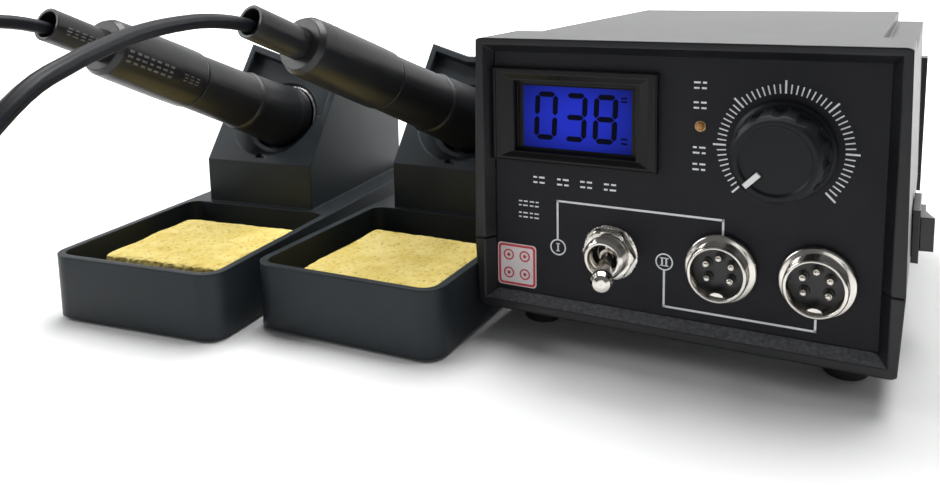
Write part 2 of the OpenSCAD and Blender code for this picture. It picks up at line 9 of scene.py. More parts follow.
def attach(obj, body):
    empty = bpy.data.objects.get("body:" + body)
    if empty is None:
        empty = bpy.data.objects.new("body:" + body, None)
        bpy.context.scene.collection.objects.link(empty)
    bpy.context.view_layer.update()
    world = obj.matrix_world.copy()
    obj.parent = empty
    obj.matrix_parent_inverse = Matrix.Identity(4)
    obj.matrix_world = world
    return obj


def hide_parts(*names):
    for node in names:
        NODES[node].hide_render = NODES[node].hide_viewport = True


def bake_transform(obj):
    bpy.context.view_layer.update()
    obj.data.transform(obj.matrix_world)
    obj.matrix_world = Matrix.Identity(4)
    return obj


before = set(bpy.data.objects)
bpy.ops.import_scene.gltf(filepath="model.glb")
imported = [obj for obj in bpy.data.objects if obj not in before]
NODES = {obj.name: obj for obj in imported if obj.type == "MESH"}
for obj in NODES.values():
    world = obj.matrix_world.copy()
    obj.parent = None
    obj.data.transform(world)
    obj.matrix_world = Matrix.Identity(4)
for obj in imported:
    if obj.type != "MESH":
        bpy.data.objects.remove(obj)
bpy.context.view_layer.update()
MM = 0.001

# where the control unit's own axes lie in the frame (mm)
UNIT = Vector((71.9, -44.9, 0))
CORD_D = 4.0
# each stand's place in the unit's axes (mm), its turn and its iron's own turn (degrees)
STANDS = [((-158.4, -52.3), 6.7, 5.8), ((-91.3, -32.0), 1.9, 10.2)]
# the irons' rise, how far up the holder's slope they go in, and the slope's tilt
RISE, HOLDER_V, TILT = 23.2, 22.0, 51.0
# the holder block's front face, the tray's rim, and the height of the front face above the rim
BLOCK_Y, RIM_H, BLOCK_RISE = 73.0, 21.8, 17.0


def unit_pt(x, y, z):
    return (UNIT + Vector((x, y, z))) * MM


# x and z on the front panel, and how far out of it
def panel_pt(x, z, out=0.0):
    return unit_pt(x, -out, z)


def stand_matrix(i):
    (x, y), turn, _ = STANDS[i]
    return Matrix.Translation((UNIT + Vector((x, y, 0))) * MM) @ Matrix.Rotation(math.radians(turn), 4, "Z")


def iron_matrix(i):
    y = BLOCK_Y + HOLDER_V * math.cos(math.radians(TILT))
    z = RIM_H + BLOCK_RISE + HOLDER_V * math.sin(math.radians(TILT))
    return (stand_matrix(i) @ Matrix.Translation(Vector((0, y, z)) * MM)
            @ Matrix.Rotation(math.radians(-STANDS[i][2]), 4, "Z")
            @ Matrix.Rotation(math.radians(90 - RISE), 4, "X"))


PANEL = Matrix.Translation(UNIT * MM) @ Matrix.Rotation(math.radians(90), 4, "X")


# ---------------------------------------------------------------- camera

def make_camera():
    az, el, roll = -0.50193, 0.15118, -0.0223
    fw = Vector((math.sin(az) * math.cos(el), math.cos(az) * math.cos(el), -math.sin(el)))
    right = Vector((math.cos(az), -math.sin(az), 0))
    up = right.cross(fw)
    rt = right * math.cos(roll) + up * math.sin(roll)
    up = -right * math.sin(roll) + up * math.cos(roll)
    cam = bpy.data.objects.new("camera", bpy.data.cameras.new("camera"))
    bpy.context.scene.collection.objects.link(cam)
    m = Matrix((rt, up, -fw)).transposed().to_4x4()
    m.translation = unit_pt(61.44, -232.46, 114.02)
    cam.matrix_world = m
    cam.data.sensor_width = 36
    cam.data.lens = 33.32
    cam.data.shift_x = 0.0123
    cam.data.shift_y = -0.1571
    cam.data.clip_start = 0.01
    cam.data.clip_end = 20
    bpy.context.scene.camera = cam


make_camera()


# ---------------------------------------------------------------- mesh helpers

# object for a mesh; edges sharper than the angle smooth (degrees) stay sharp
def link_mesh(name, me, smooth):
    o = bpy.data.objects.new(name, me)
    bpy.context.scene.collection.objects.link(o)
    if smooth is not None:
        me.shade_smooth()
        me.set_sharp_from_angle(angle=math.radians(smooth))
    return o


def new_object(name, verts, faces, smooth=None):
    me = bpy.data.meshes.new(name)
    me.from_pydata([tuple(v) for v in verts], [], faces)
    me.validate()
    me.update()
    return link_mesh(name, me, smooth)


def from_bm(name, bm, smooth=None):
    bmesh.ops.recalc_face_normals(bm, faces=bm.faces)
    me = bpy.data.meshes.new(name)
    bm.to_mesh(me)
    bm.free()
    return link_mesh(name, me, smooth)


# surface of revolution about m's Z axis, profile in mm as (r, z); wave may change a point's radius
def lathe(name, prof, m, seg=64, smooth=35, wave=None, closed=True):
    verts, faces = [], []
    n = len(prof)
    for j in range(seg):
        a = 2 * math.pi * j / seg
        for k, (r, z) in enumerate(prof):
            rr = r if wave is None else wave(r, z, a, k)
            verts.append(m @ (Vector((rr * math.cos(a), rr * math.sin(a), z)) * MM))
    loops = n if closed else n - 1
    for j in range(seg):
        jj = (j + 1) % seg
        for k in range(loops):
            kk = (k + 1) % n
            faces.append((j * n + k, jj * n + k, jj * n + kk, j * n + kk))
    bm = bmesh.new()
    bv = [bm.verts.new(v) for v in verts]
    for f in faces:
        try:
            bm.faces.new([bv[i] for i in f])
        except ValueError:
            pass
    bmesh.ops.remove_doubles(bm, verts=bm.verts, dist=1e-6)
    return from_bm(name, bm, smooth)


# thin plates with the given outlines in mm, from out0 to out1 off the surface that place() puts them on
def plates(name, outlines, out0=0.0, out1=0.08, place=panel_pt):
    verts, faces = [], []
    for pts in outlines:
        b = len(verts)
        n = len(pts)
        verts += [place(x, z, out0) for x, z in pts] + [place(x, z, out1) for x, z in pts]
        faces.append(tuple(b + n + i for i in range(n)))
        faces.append(tuple(b + n - 1 - i for i in range(n)))
        faces += [(b + i, b + (i + 1) % n, b + n + (i + 1) % n, b + n + i) for i in range(n)]
    o = new_object(name, verts, faces)
    bm = bmesh.new()
    bm.from_mesh(o.data)
    bmesh.ops.recalc_face_normals(bm, faces=bm.faces)
    bm.to_mesh(o.data)
    bm.free()
    return o


def rect(x0, z0, x1, z1):
    return [(x0, z0), (x1, z0), (x1, z1), (x0, z1)]


# stroke of a width between two points
def stroke(a, b, w):
    d = (Vector(b) - Vector(a)).normalized()
    n = Vector((-d.y, d.x)) * w / 2
    p, q = Vector(a), Vector(b)
    return [tuple(p - n), tuple(q - n), tuple(q + n), tuple(p + n)]


def polar(c, r, deg):
    a = math.radians(deg)
    return c[0] + r * math.cos(a), c[1] + r * math.sin(a)


# flat ring as n four-cornered outlines
def arc_ring(cx, cz, r0, r1, n=48):
    c = (cx, cz)
    out = []
    for k in range(n):
        s, t = 360 * k / n, 360 * (k + 1) / n
        out.append([polar(c, r0, s), polar(c, r1, s), polar(c, r1, t), polar(c, r0, t)])
    return out


def disc(cx, cz, r, n=24):
    return [polar((cx, cz), r, 360 * k / n) for k in range(n)]


# ribbed cord swept along points (m) with a parallel frame; radius in mm
def tube(name, pts, r, sides=40, ribs=5, depth=0.11):
    verts, faces = [], []
    n = len(pts)
    u = None
    for k, p in enumerate(pts):
        w = (pts[min(k + 1, n - 1)] - pts[max(k - 1, 0)]).normalized()
        if u is None:
            u = w.cross(Vector((0, 0, 1))).normalized()
        u = (u - w * u.dot(w)).normalized()
        v = w.cross(u)
        for j in range(sides):
            a = 2 * math.pi * j / sides
            rr = r * (1 - depth * (1 - abs(math.cos(ribs * (a + 0.01 * k) / 2)) ** 0.6))
            verts.append(p + (u * math.cos(a) + v * math.sin(a)) * rr * MM)
    for k in range(n - 1):
        for j in range(sides):
            jj = (j + 1) % sides
            faces.append((k * sides + j, k * sides + jj, (k + 1) * sides + jj, (k + 1) * sides + j))
    faces.append(tuple(range(sides - 1, -1, -1)))
    faces.append(tuple((n - 1) * sides + j for j in range(sides)))
    return new_object(name, verts, faces, smooth=60)


# ---------------------------------------------------------------- materials

def node_tree(name):
    m = bpy.data.materials.new(name)
    m.use_nodes = True
    nt = m.node_tree
    return m, nt, nt.nodes["Principled BSDF"]


def tex_coords(nt, scale=(1, 1, 1)):
    tc = nt.nodes.new("ShaderNodeTexCoord")
    mp = nt.nodes.new("ShaderNodeMapping")
    mp.inputs["Scale"].default_value = scale
    nt.links.new(tc.outputs["Object"], mp.inputs["Vector"])
    return mp.outputs["Vector"]


def noise_node(nt, vec, scale, detail):
    n = nt.nodes.new("ShaderNodeTexNoise")
    n.inputs["Scale"].default_value = scale
    n.inputs["Detail"].default_value = detail
    n.inputs["Roughness"].default_value = 0.55
    nt.links.new(vec, n.inputs["Vector"])
    return n.outputs["Fac"]


def ramp(nt, fac, stops):
    r = nt.nodes.new("ShaderNodeValToRGB")
    e = r.color_ramp.elements
    while len(e) < len(stops):
        e.new(0.5)
    for el, (pos, col) in zip(e, stops):
        el.position = pos
        el.color = (*col, 1)
    nt.links.new(fac, r.inputs["Fac"])
    return r.outputs["Color"]


# a number that goes from lo to hi while fac goes from a to b
def map_range(nt, fac, lo, hi, a=0.3, b=0.7):
    r = nt.nodes.new("ShaderNodeMapRange")
    r.inputs["From Min"].default_value = a
    r.inputs["From Max"].default_value = b
    r.inputs["To Min"].default_value = lo
    r.inputs["To Max"].default_value = hi
    nt.links.new(fac, r.inputs["Value"])
    return r.outputs["Result"]


def bump(nt, height, strength, dist, normal=None):
    b = nt.nodes.new("ShaderNodeBump")
    b.inputs["Strength"].default_value = strength
    b.inputs["Distance"].default_value = dist
    nt.links.new(height, b.inputs["Height"])
    if normal is not None:
        nt.links.new(normal, b.inputs["Normal"])
    return b.outputs["Normal"]


def rounded(nt, radius):
    b = nt.nodes.new("ShaderNodeBevel")
    b.samples = 6
    b.inputs["Radius"].default_value = radius
    return b.outputs["Normal"]


# moulded plastic or rubber: base colour with slow drift, fine grain, softened edges
def plastic(name, col, rough=0.5, drift=0.25, grain=2600, depth=0.00004, strength=0.5, edge=0.0005,
            spec=0.5, coat=0.0, blotch=90, sway=0.1):
    m, nt, p = node_tree(name)
    vec = tex_coords(nt)
    slow = noise_node(nt, vec, blotch, 4)
    fine = noise_node(nt, vec, grain, 2)
    lo = tuple(c * (1 - drift) for c in col)
    hi = tuple(min(1, c * (1 + drift)) for c in col)
    nt.links.new(ramp(nt, slow, [(0.3, lo), (0.7, hi)]), p.inputs["Base Color"])
    nt.links.new(map_range(nt, slow, rough * (1 - sway), min(1, rough * (1 + sway))),
                 p.inputs["Roughness"])
    nt.links.new(bump(nt, fine, strength, depth, rounded(nt, edge) if edge else None),
                 p.inputs["Normal"])
    p.inputs["Specular IOR Level"].default_value = spec
    p.inputs["Coat Weight"].default_value = coat
    return m


# bare metal: fine scratches along the axis that stretch makes long
def metal(name, col, rough=0.2, stretch=(1, 1, 1), scale=900):
    depth, edge, drift, strength = 0.00001, 0.0003, 0.12, 0.3
    m, nt, p = node_tree(name)
    vec = tex_coords(nt, stretch)
    slow = noise_node(nt, vec, 160, 4)
    fine = noise_node(nt, vec, scale, 3)
    lo = tuple(c * (1 - drift) for c in col)
    nt.links.new(ramp(nt, slow, [(0.35, lo), (0.65, col)]), p.inputs["Base Color"])
    nt.links.new(map_range(nt, fine, rough * 0.7, rough * 1.4), p.inputs["Roughness"])
    nt.links.new(bump(nt, fine, strength, depth, rounded(nt, edge)), p.inputs["Normal"])
    p.inputs["Metallic"].default_value = 1.0
    return m


# backlight, brighter in its middle: the darker edges are painted shade of the bezel over the display; the
# piece's origin is at its middle
def glow(name, middle, edge):
    m, nt, p = node_tree(name)
    ball = nt.nodes.new("ShaderNodeTexGradient")
    ball.gradient_type = "SPHERICAL"
    nt.links.new(tex_coords(nt, (42, 42, 66)), ball.inputs["Vector"])
    c = ramp(nt, ball.outputs["Fac"], [(0.0, edge), (0.75, middle)])
    nt.links.new(c, p.inputs["Emission Color"])
    nt.links.new(c, p.inputs["Base Color"])
    p.inputs["Emission Strength"].default_value = 1.0
    p.inputs["Roughness"].default_value = 0.6
    p.inputs["Specular IOR Level"].default_value = 0.05
    return m


case_mat = plastic("case_black", (0.0095, 0.0100, 0.0120), 0.36, 0.10, 3000, 0.00004, 0.45,
                   0.0009, blotch=25, sway=0.02, spec=0.42)
panel_mat = plastic("panel_dark_grey", (0.0115, 0.012, 0.0155), 0.5, 0.06, 4200, 0.00002, 0.35,
                    0.0, spec=0.22)
# lip's grain face: its light grey base colour is painted sheen of light falling on this upward face; the grain
# and bump are real
grain_sheen_mat = plastic("eroded_grain_painted_sheen", (0.105, 0.108, 0.116), 0.5, 0.45, 1300, 0.00022, 1.0, 0.0,
                    blotch=900)
stand_mat = plastic("stand_black", (0.0200, 0.0260, 0.0305), 0.42, 0.12, 2600, 0.00004, 0.5,
                    0.0009, spec=0.28)
rubber_mat = plastic("feet_rubber", (0.014, 0.014, 0.014), 0.75, 0.15, 1500, 0.00006, 0.5, 0.0004)
grip_mat = plastic("grip_rubber", (0.010, 0.0105, 0.0125), 0.42, 0.12, 1800, 0.00005, 0.4, 0.0008)
sleeve_mat = plastic("sleeve_shrunk", (0.0115, 0.012, 0.013), 0.36, 0.12, 1100, 0.00008, 0.35, 0.0006)
cord_mat = plastic("cord_jacket", (0.007, 0.008, 0.011), 0.44, 0.14, 1500, 0.00004, 0.35, 0.0, spec=0.18)
gloss_mat = plastic("meter_gloss_black", (0.007, 0.007, 0.008), 0.30, 0.1, 900, 0.00001, 0.2,
                    0.0005, spec=0.25)
knob_mat = plastic("knob_black", (0.0075, 0.0085, 0.0100), 0.42, 0.1, 2400, 0.00003, 0.4, 0.0005,
                   spec=0.25)
insert_mat = plastic("socket_insert_black", (0.006, 0.006, 0.0065), 0.3, 0.15, 1500, 0.00003,
                     0.3, 0.0002)
rocker_mat = plastic("rocker_black", (0.012, 0.012, 0.013), 0.25, 0.1, 1600, 0.00002, 0.3, 0.0005)
switch_mat = plastic("switch_body", (0.05, 0.06, 0.09), 0.4, 0.15, 1600, 0.00003, 0.4, 0.0004)
white_mat = plastic("printed_white", (0.84, 0.85, 0.87), 0.55, 0.05, 3000, 0.00002, 0.3, 0.0)
pointer_mat = plastic("pointer_white", (0.82, 0.82, 0.81), 0.35, 0.05, 2500, 0.00002, 0.3, 0.0002)
label_mat = plastic("label_white", (0.80, 0.74, 0.74), 0.5, 0.05, 2500, 0.00002, 0.3, 0.0)
red_mat = plastic("printed_red", (0.62, 0.045, 0.06), 0.5, 0.12, 2500, 0.00002, 0.3, 0.0)
grey_print_mat = plastic("printed_grey", (0.13, 0.128, 0.125), 0.6, 0.25, 1500, 0.00003, 0.4,
                         0.0, blotch=900)
nickel_mat = metal("nickel_bright", (0.74, 0.71, 0.66), 0.14, scale=600)
zinc_mat = metal("zinc_plate", (0.62, 0.63, 0.62), 0.3)
steel_mat = metal("brushed_steel", (0.55, 0.55, 0.54), 0.3, (1, 1, 0.1))
tip_mat = metal("tip_tinned", (0.50, 0.46, 0.42), 0.35)
alu_mat = metal("plain_aluminium", (0.72, 0.73, 0.75), 0.34, (1, 0.1, 1))
core_mat = metal("laminated_core", (0.22, 0.21, 0.2), 0.5, (1, 60, 1), 200)
copper_mat = metal("winding_copper", (0.62, 0.26, 0.10), 0.35, (1, 1, 14), 300)
amber_mat = plastic("amber_lens", (0.55, 0.25, 0.07), 0.25, 0.2, 1500, 0.00002, 0.2, 0.0002, coat=0.5)
# display: the dim edge colour is painted shade of the bezel
lcd_mat = glow("display_blue", (0.010, 0.018, 0.30), (0.003, 0.006, 0.07))
digit_mat = plastic("display_digit", (0.003, 0.004, 0.016), 0.7, 0.1, 1500, 0.00001, 0.2, 0.0, spec=0.05)
board_mat = plastic("board_green", (0.015, 0.12, 0.05), 0.35, 0.2, 800, 0.00003, 0.4, 0.0003)


def sponge_material():
    m, nt, p = node_tree("cellulose_sponge")
    vec = tex_coords(nt)
    slow = noise_node(nt, vec, 120, 5)
    pores = nt.nodes.new("ShaderNodeTexVoronoi")
    pores.inputs["Scale"].default_value = 520
    nt.links.new(vec, pores.inputs["Vector"])
    mix = nt.nodes.new("ShaderNodeMixRGB")
    mix.blend_type = "MULTIPLY"
    mix.inputs["Fac"].default_value = 0.65
    yellow = ramp(nt, slow, [(0.3, (0.76, 0.58, 0.14)), (0.7, (0.90, 0.74, 0.27))])
    nt.links.new(yellow, mix.inputs["Color1"])
    # pores darker: painted shade in the pores' hollows over the yellow foam
    pore_shade = ramp(nt, pores.outputs["Distance"], [(0.08, (0.52, 0.38, 0.13)), (0.34, (1, 1, 1))])
    nt.links.new(pore_shade, mix.inputs["Color2"])
    nt.links.new(mix.outputs["Color"], p.inputs["Base Color"])
    fine = noise_node(nt, vec, 1400, 3)
    skin = bump(nt, fine, 0.8, 0.0003)
    nt.links.new(bump(nt, pores.outputs["Distance"], 0.9, 0.0006, skin), p.inputs["Normal"])
    p.inputs["Roughness"].default_value = 0.9
    p.inputs["Subsurface Weight"].default_value = 0.15
    p.inputs["Subsurface Radius"].default_value = (0.002, 0.0014, 0.0006)
    return m


sponge_mat = sponge_material()

NODE_MATERIALS = {
    "case_top_shell": case_mat, "case_bottom_shell": case_mat, "front_panel": panel_mat,
    "rear_panel": panel_mat, "case_feet": rubber_mat, "case_screws": zinc_mat,
    "meter_housing": gloss_mat, "meter_display": gloss_mat, "temperature_knob": knob_mat,
    "knob_pointer": pointer_mat, "potentiometer_shaft": alu_mat, "potentiometer_body": zinc_mat,
    "potentiometer_nut": nickel_mat, "indicator_led": amber_mat, "toggle_body": switch_mat,
    "toggle_bush": nickel_mat, "toggle_nut": nickel_mat, "toggle_lever": nickel_mat,
    "rocker_frame": rocker_mat, "rocker_button": rocker_mat, "mains_gland": rubber_mat,
    "transformer_core": core_mat, "transformer_winding": copper_mat, "control_board": board_mat,
    "heat_sink": alu_mat,
}
for i in "12":
    NODE_MATERIALS.update({
        f"socket_{i}_shell": nickel_mat, f"socket_{i}_insert": insert_mat,
        f"socket_{i}_pins": nickel_mat, f"socket_{i}_nut": zinc_mat, f"stand_{i}": stand_mat,
        f"stand_{i}_funnel": steel_mat, f"stand_{i}_feet": rubber_mat, f"sponge_{i}": sponge_mat,
        f"iron_{i}_grip": grip_mat, f"iron_{i}_sleeve": sleeve_mat, f"iron_{i}_tail": sleeve_mat,
        f"iron_{i}_barrel": steel_mat, f"iron_{i}_nut": steel_mat, f"iron_{i}_tip": tip_mat,
        f"cord_{i}": cord_mat, f"cord_{i}_coil": cord_mat, f"plug_{i}": nickel_mat})


def paint(o, mat):
    o.data.materials.clear()
    o.data.materials.append(mat)
    return o


for name, o in NODES.items():
    paint(o, NODE_MATERIALS[name])


# piece on a body, painted
def add(o, body, mat):
    paint(o, mat)
    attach(o, body)
    return o


# ---------------------------------------------------------------- cords

# middle line of each cord from its iron to its coil, in the unit's axes (mm)
ROUTES = [
    [(-167.2, -50.6, 91.2), (-167, -66.2, 97.6), (-168.6, -80, 100.6), (-171, -96, 100.6),
     (-174, -112, 96), (-179, -127, 84), (-188, -141, 62), (-200, -151, 38), (-213, -157, 17),
     (-224, -158, 5.6), (-233, -154, 2.4), (-239.6, -147.5, 2.2), (-242, -140, 2.1),
     (-242, -136, 2.1)],
    [(-106.4, -28.9, 91.1), (-108.6, -44.3, 97.6), (-105.3, -62.6, 100.3), (-100.9, -80, 100.6),
     (-95.5, -96, 99.8), (-90.6, -109, 98.2), (-85.6, -121.5, 96.2), (-80.8, -135, 92.5),
     (-79, -149, 82), (-82, -162, 63), (-90, -174, 41), (-101, -184, 20), (-112, -190, 7),
     (-122, -192.5, 2.6), (-132, -191, 2.2), (-140.5, -185, 2.2), (-146, -173.5, 2.1),
     (-146, -169, 2.1)],
]
COILS = [(-268.6, -112.0), (-172.6, -145.0)]
ENTRY_R, COIL_R, INNER_R, STUB = 26.6, 22.5, 18.4, 24.0     # the coil's turns and its straight ends
LAYERS = (2.1, 6.0, 9.9)                                    # heights of the coil's three layers
TURNS, TURN_STEPS = 6.5, 48
CORD_EXIT, TAIL_END = 85, 109                               # places along the iron's axis


# point at t on the smooth curve through the points
def along(pts, t):
    k = min(int(t), len(pts) - 2)
    f = t - k
    a, b, c, d = pts[max(k - 1, 0)], pts[k], pts[k + 1], pts[min(k + 2, len(pts) - 1)]
    return 0.5 * (2 * b + (c - a) * f + (2 * a - 5 * b + 4 * c - d) * f * f
                  + (3 * b - a - 3 * c + d) * f * f * f)


def smooth01(t):
    t = max(0.0, min(1.0, t))
    return t * t * (3 - 2 * t)


# radius and height of the cord in the coil after so many turns
def lane(turns):
    low, mid, top = LAYERS
    lanes = [(ENTRY_R, low), (COIL_R, low), (INNER_R, low), (INNER_R, mid), (COIL_R, mid),
             (ENTRY_R, mid), (COIL_R, top)]
    k = min(int(turns), 6)
    f = smooth01((turns - k - 0.8) / 0.2)
    a, b = lanes[k], lanes[min(k + 1, 6)]
    return a[0] + (b[0] - a[0]) * f, a[1] + (b[1] - a[1]) * f


def cord_path(i):
    start = iron_matrix(i) @ (Vector((0, 0, CORD_EXIT)) * MM)
    pts = [start] + [unit_pt(*p) for p in ROUTES[i]]
    path = [along(pts, k / 4) for k in range(4 * (len(pts) - 1))]
    cx, cy = COILS[i]
    for k in range(6):
        path.append(unit_pt(cx + ENTRY_R, cy - STUB + k * STUB / 6, LAYERS[0]))
    for k in range(int(TURNS * TURN_STEPS) + 1):
        turns = k / TURN_STEPS
        r, z = lane(turns)
        a = 2 * math.pi * turns
        path.append(unit_pt(cx + r * math.cos(a), cy + r * math.sin(a), z))
    for k in range(1, 7):
        f = k / 6
        path.append(unit_pt(cx - COIL_R, cy - f * (STUB + 6), LAYERS[2] - 0.9 * smooth01(f)))
    return path


# band round the coil at 100 degrees
def cord_tie(i):
    cx, cy = COILS[i]
    a = math.radians(100)
    out, up = Vector((math.cos(a), math.sin(a), 0)), Vector((0, 0, 1))
    across = Vector((-math.sin(a), math.cos(a), 0))
    c = UNIT + Vector((cx, cy, 5.2)) + out * COIL_R
    prof = []
    hw, hh, r = 6.9, 4.9, 2.6
    for q, (sx, sz) in enumerate([(1, 1), (-1, 1), (-1, -1), (1, -1)]):
        for s in range(7):
            t = math.radians(90 * q + 15 * s)
            prof.append((sx * (hw - r) + r * math.cos(t), sz * (hh - r) + r * math.sin(t)))
    bm = bmesh.new()
    rings = []
    for w, grow in ((-2.6, 0), (-2.3, 0.45), (2.3, 0.45), (2.6, 0)):
        ring = []
        for x, z in prof:
            n = Vector((x, z)).normalized() * grow
            ring.append(bm.verts.new((c + out * (x + n.x) + up * (z + n.y) + across * w) * MM))
        rings.append(ring)
    n = len(prof)
    for p, q in zip(rings, rings[1:] + rings[:1]):
        for j in range(n):
            bm.faces.new((p[j], p[(j + 1) % n], q[(j + 1) % n], q[j]))
    return from_bm(f"cord_{i + 1}_tie", bm, 50)


for i in (0, 1):
    n = i + 1
    path = cord_path(i)
    o = paint(tube(f"cord_{n}_jacket", path, CORD_D / 2), cord_mat)
    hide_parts(f"cord_{n}", f"cord_{n}_coil")
    tie = add(cord_tie(i), f"holder_{n}", rubber_mat)
    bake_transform(o)


# ---------------------------------------------------------------- printing on the panel

def carry(name, outlines, mat, out0=0.0, out1=0.08):
    return add(plates(name, outlines, out0, out1), "control_unit", mat)


KNOB = (29.2, 64.6)
ticks = []
for k in range(55):
    deg = 225 - 5 * k
    major = k % 9 == 0
    end, width = (18.0, 0.5) if major else (17.0, 0.36)
    ticks.append(stroke(polar(KNOB, 14.6, deg), polar(KNOB, end, deg), width))
ticks.append(stroke(polar(KNOB, 12.6, 225), polar(KNOB, 14.8, 225), 0.7))
carry("dial_scale", ticks, white_mat)


def polyline(pts, w):
    out = [stroke(a, b, w) for a, b in zip(pts, pts[1:])]
    return out + [rect(x - w / 2, z - w / 2, x + w / 2, z + w / 2) for x, z in pts[1:-1]]


carry("channel_lines", polyline([(-33.5, 32.2), (-33.5, 43.8), (14.4, 43.8), (14.4, 39.9)], 0.6)
      + polyline([(-1.5, 27.3), (-1.5, 16.8), (38.4, 16.8), (38.4, 21.2)], 0.6), white_mat)
numerals = arc_ring(-33.4, 29.6, 2.1, 2.5) + arc_ring(-1.5, 29.8, 2.1, 2.5)
for x, z in ((-33.4, 29.6), (-2.1, 29.8), (-0.9, 29.8)):
    numerals.append(rect(x - 0.24, z - 1.15, x + 0.24, z + 1.15))
for x, z, w in ((-33.4, 29.6, 0.6), (-1.5, 29.8, 1.25)):
    numerals += [rect(x - w, z + 1.0, x + w, z + 1.25), rect(x - w, z - 1.25, x + w, z - 1.0)]
carry("channel_numbers", numerals, white_mat)

rng = random.Random(7)


# two rows of short dashes in the place of one printed sign
def dashes(x, z, size):
    out = []
    for h in (-0.22, 0.22):
        split = rng.uniform(-0.12, 0.12)
        for a, b in ((-0.5, split - 0.09), (split + 0.09, 0.5)):
            out.append(rect(x + a * size, z + (h - 0.075) * size, x + b * size, z + (h + 0.075) * size))
    return out


signs = []
for x in (-39.4, -31.8, -24.6, -17.4):
    signs += dashes(x, 49.6, 3.6)
for x in (-44.6, -41.0):
    for z in (41.9, 38.3):
        signs += dashes(x, z, 2.9)
for z in (80.3, 74.9, 62.6, 58.0):
    signs += dashes(7.6, z, 3.4)
carry("panel_dashes", signs, white_mat)


def round_rect(x0, z0, x1, z1, r):
    out = []
    for cx, cz, a0 in ((x1 - r, z0 + r, -90), (x1 - r, z1 - r, 0), (x0 + r, z1 - r, 90), (x0 + r, z0 + r, 180)):
        for k in range(7):
            out.append(polar((cx, cz), r, a0 + 15 * k))
    return out


carry("label_plate", [round_rect(-53.3, 15.4, -40.5, 28.8, 1.2)], label_mat, 0, 0.15)
outer, inner = round_rect(-53.0, 15.7, -40.8, 28.5, 1.2), round_rect(-52.3, 16.4, -41.5, 27.8, 0.7)
border = [[outer[k], outer[(k + 1) % 28], inner[(k + 1) % 28], inner[k]] for k in range(28)]
blocks = []
for x in (-49.6, -44.3):
    for z in (25.1, 19.4):
        blocks += arc_ring(x, z, 1.3, 1.75, n=28) + [disc(x, z, 0.55)]
carry("label_marks", border + blocks, red_mat, 0.15, 0.22)


# ---------------------------------------------------------------- meter

METER = (-28.4, 69.1)
lit = rect(METER[0] - 16.6, METER[1] - 10.0, METER[0] + 16.6, METER[1] + 8.5)
display = plates("meter_backlight", [lit], -2.0, -1.86)
middle = panel_pt(METER[0], METER[1] - 0.7, -1.9)
display.data.transform(Matrix.Translation(-middle))
display.location = middle
add(display, "control_unit", lcd_mat)


# thin rectangular rim between an inner and an outer rectangle about the meter's middle
def rim(name, inner, outer, out0, out1):
    (a0, b0, a1, b1), (c0, d0, c1, d1) = inner, outer
    strips = [rect(c0, d0, c1, b0), rect(c0, b1, c1, d1), rect(c0, b0, a0, b1), rect(a1, b0, c1, b1)]
    outlines = [[(x + METER[0], z + METER[1]) for x, z in q] for q in strips]
    return carry(name, outlines, gloss_mat, out0, out1)


rim("meter_inner_rim", (-18.6, -10.9, 18.6, 10.1), (-19.3, -11.5, 19.3, 10.7), -1.0, 0.35)
rim("meter_outer_rim", (-24.0, -13.4, 24.0, 13.4), (-24.6, -13.8, 24.6, 13.8), 1.9, 2.25)
SEGMENTS = {"0": "abcdef", "3": "abcdg", "8": "abcdefg"}


# seven-segment digit in a box, leaning a little to the right
def digit(ch, x0, x1, z0, z1):
    w, gap, zm = 1.55, 0.2, (z0 + z1) / 2
    h = w / 2

    def bar(xa, xb, z):
        return [(xa + gap, z), (xa + gap + h, z + h), (xb - gap - h, z + h), (xb - gap, z),
                (xb - gap - h, z - h), (xa + gap + h, z - h)]

    def post(x, za, zb):
        return [(x, za + gap), (x + h, za + gap + h), (x + h, zb - gap - h), (x, zb - gap),
                (x - h, zb - gap - h), (x - h, za + gap + h)]
    a, b = x0 + h, x1 - h
    lo, hi = z0 + h, z1 - h
    parts = {"a": bar(a, b, hi), "d": bar(a, b, lo), "g": bar(a, b, zm), "b": post(b, zm, hi),
             "c": post(b, lo, zm), "e": post(a, lo, zm), "f": post(a, zm, hi)}
    return [[(x + (z - zm) * 0.05, z) for x, z in parts[s]] for s in SEGMENTS[ch]]


figures = []
for k, ch in enumerate("038"):
    figures += digit(ch, -41.4 + 9.15 * k, -34.2 + 9.15 * k, 61.6, 76.0)
figures += [rect(-14.9, 75.0, -13.1, 75.45), rect(-14.9, 74.0, -13.1, 74.45),
            rect(-14.9, 61.9, -13.0, 62.4), rect(-14.9, 63.2, -13.0, 63.7)]
carry("meter_figures", figures, digit_mat, -1.86, -1.8)


# ---------------------------------------------------------------- sockets and switch

# lathe piece whose radius follows a thread between two heights
def threaded(name, head, z0, z1, top, tail, m, pitch, depth):
    n = int((z1 - z0) / (pitch / 8))
    pts = [(top, z0 + (z1 - z0) * k / n) for k in range(n + 1)]

    def wave(r, z, a, k):
        if len(head) <= k < len(head) + len(pts):
            return r - depth * (0.5 + 0.5 * math.cos(2 * math.pi * (z / pitch) - a))
        return r
    return lathe(name, head + pts + tail, m, 72, 50, wave)


def merge(name, objs):
    bm = bmesh.new()
    for o in objs:
        bm.from_mesh(o.data)
        bpy.data.objects.remove(o)
    return from_bm(name, bm, 40)


# place on the panel, for a piece turned about an axis that comes straight out of it
def on_panel(x, z):
    return PANEL @ Matrix.Translation(Vector((x, z, 0)) * MM)


